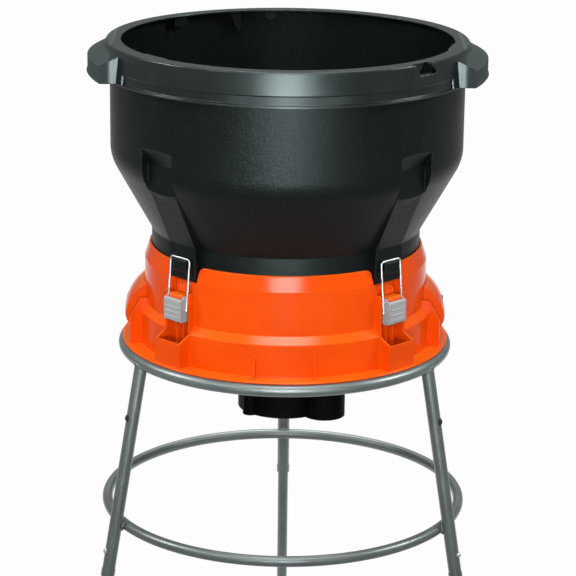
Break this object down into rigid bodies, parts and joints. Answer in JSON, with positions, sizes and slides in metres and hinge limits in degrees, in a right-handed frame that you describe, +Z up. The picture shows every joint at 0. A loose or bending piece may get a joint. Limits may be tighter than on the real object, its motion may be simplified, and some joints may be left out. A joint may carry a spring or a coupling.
{
  "type": "leaf_shredder",
  "caption": "Electric leaf shredder: black hopper with side handles, orange cutting base with wire draw latches, motor below, grey three-legged tube stand",
  "frame": {"origin": "On the floor, under the middle of the whole object's box", "axes": "+Z up, the front (between the two front legs) faces -Y, +X to the right as seen from the front; the machine's own axis is upright, 67.2 mm in front of the origin"},
  "size_m": [0.7244, 0.7066, 1.316],
  "materials": {
    "hopper_black": "Fine-grained charcoal black moulding",
    "rim_black": "Smooth satin charcoal black",
    "orange": "Vivid orange semi-gloss moulding",
    "stand_grey": "Grey metallic paint",
    "motor_black": "Black moulding",
    "rubber_black": "Black rubber",
    "lever_grey": "Blue-grey moulding with grip ridges",
    "steel_bright": "Bright steel",
    "switch_red": "Red rocker",
    "brass": "Plain brass",
    "copper": "Lacquered copper wire",
    "core_steel": "Stacked steel sheet",
    "carbon": "Pressed carbon",
    "disc_black": "Black painted steel",
    "line_nylon": "Natural nylon line"
  },
  "bodies": {
    "machine": {"upper_ring": "stand_grey", "lower_ring": "stand_grey", "upper_leg_left": "stand_grey", "lower_leg_left": "stand_grey", "foot_cap_left": "rubber_black", "upper_leg_right": "stand_grey", "lower_leg_right": "stand_grey", "foot_cap_right": "rubber_black", "upper_leg_rear": "stand_grey", "lower_leg_rear": "stand_grey", "foot_cap_rear": "rubber_black", "leg_plugs": "rubber_black", "base_housing": "orange", "switch_cover": "orange", "inlet_cover": "orange", "switch_body": "motor_black", "inlet_socket": "motor_black", "motor_deck": "motor_black", "motor_can": "motor_black", "inlet_blades": "brass", "field_core": "core_steel", "field_windings": "copper", "upper_bearing": "steel_bright", "lower_bearing": "steel_bright", "brush_holders": "brass", "carbon_brushes": "carbon", "motor_leads": "rubber_black", "stand_screws": "steel_bright", "deck_screws": "steel_bright", "can_screws": "steel_bright", "cover_screws": "steel_bright", "latch_pins": "steel_bright", "hopper_tub": "hopper_black", "hopper_rim": "rim_black"},
    "rotor": {"motor_shaft": "steel_bright", "armature_core": "core_steel", "armature_windings": "copper", "commutator": "copper", "cooling_fan": "motor_black", "cutter_disc": "disc_black", "line_holders": "orange", "cutter_lines": "line_nylon", "disc_washer": "steel_bright", "disc_nut": "steel_bright"},
    "rocker": {"switch_rocker": "switch_red"},
    "lever_front_left": {"latch_lever_front_left": "lever_grey"},
    "bail_front_left": {"latch_bail_front_left": "steel_bright"},
    "lever_front_right": {"latch_lever_front_right": "lever_grey"},
    "bail_front_right": {"latch_bail_front_right": "steel_bright"},
    "lever_rear_right": {"latch_lever_rear_right": "lever_grey"},
    "bail_rear_right": {"latch_bail_rear_right": "steel_bright"},
    "lever_rear_left": {"latch_lever_rear_left": "lever_grey"},
    "bail_rear_left": {"latch_bail_rear_left": "steel_bright"},
    "button_left": {"snap_button_left": "steel_bright"},
    "button_right": {"snap_button_right": "steel_bright"},
    "button_rear": {"snap_button_rear": "steel_bright"}
  },
  "joints": [
    {"name": "rotor_spin", "type": "hinge", "parent": "machine", "child": "rotor", "pos_m": [0, -0.06716, 0.8925], "axis": [0, 0, 1], "continuous": true},
    {"name": "lever_front_left_hinge", "type": "hinge", "parent": "machine", "child": "lever_front_left", "pos_m": [-0.16193, -0.22909, 0.949], "axis": [-0.7071, 0.7071, 0], "range_deg": [0, 110]},
    {"name": "bail_front_left_hinge", "type": "hinge", "parent": "lever_front_left", "child": "bail_front_left", "pos_m": [-0.16249, -0.22965, 0.932], "axis": [-0.7071, 0.7071, 0], "range_deg": [-132, 0]},
    {"name": "lever_front_right_hinge", "type": "hinge", "parent": "machine", "child": "lever_front_right", "pos_m": [0.16193, -0.22909, 0.949], "axis": [-0.7071, -0.7071, 0], "range_deg": [0, 110]},
    {"name": "bail_front_right_hinge", "type": "hinge", "parent": "lever_front_right", "child": "bail_front_right", "pos_m": [0.16249, -0.22965, 0.932], "axis": [-0.7071, -0.7071, 0], "range_deg": [-132, 0]},
    {"name": "lever_rear_right_hinge", "type": "hinge", "parent": "machine", "child": "lever_rear_right", "pos_m": [0.16193, 0.09477, 0.949], "axis": [0.7071, -0.7071, 0], "range_deg": [0, 110]},
    {"name": "bail_rear_right_hinge", "type": "hinge", "parent": "lever_rear_right", "child": "bail_rear_right", "pos_m": [0.16249, 0.09533, 0.932], "axis": [0.7071, -0.7071, 0], "range_deg": [-132, 0]},
    {"name": "lever_rear_left_hinge", "type": "hinge", "parent": "machine", "child": "lever_rear_left", "pos_m": [-0.16193, 0.09477, 0.949], "axis": [0.7071, 0.7071, 0], "range_deg": [0, 110]},
    {"name": "bail_rear_left_hinge", "type": "hinge", "parent": "lever_rear_left", "child": "bail_rear_left", "pos_m": [-0.16249, 0.09533, 0.932], "axis": [0.7071, 0.7071, 0], "range_deg": [-132, 0]},
    {"name": "rocker_hinge", "type": "hinge", "parent": "machine", "child": "rocker", "pos_m": [-0.245, -0.06716, 0.8925], "axis": [0, -1, 0], "range_deg": [0, 16]},
    {"name": "button_left_slide", "type": "slide", "parent": "machine", "child": "button_left", "axis": [0.8522, 0.492, -0.1781], "range_m": [0, 0.0043], "stiffness_N_per_m": 400},
    {"name": "button_right_slide", "type": "slide", "parent": "machine", "child": "button_right", "axis": [-0.8522, 0.492, -0.1781], "range_m": [0, 0.0043], "stiffness_N_per_m": 400},
    {"name": "button_rear_slide", "type": "slide", "parent": "machine", "child": "button_rear", "axis": [0, -0.984, -0.1781], "range_m": [0, 0.0043], "stiffness_N_per_m": 400}
  ],
  "couplings": [
    {"joint": "bail_front_left_hinge", "follows": "lever_front_left_hinge", "ratio": -1.2},
    {"joint": "bail_front_right_hinge", "follows": "lever_front_right_hinge", "ratio": -1.2},
    {"joint": "bail_rear_right_hinge", "follows": "lever_rear_right_hinge", "ratio": -1.2},
    {"joint": "bail_rear_left_hinge", "follows": "lever_rear_left_hinge", "ratio": -1.2}
  ]
}
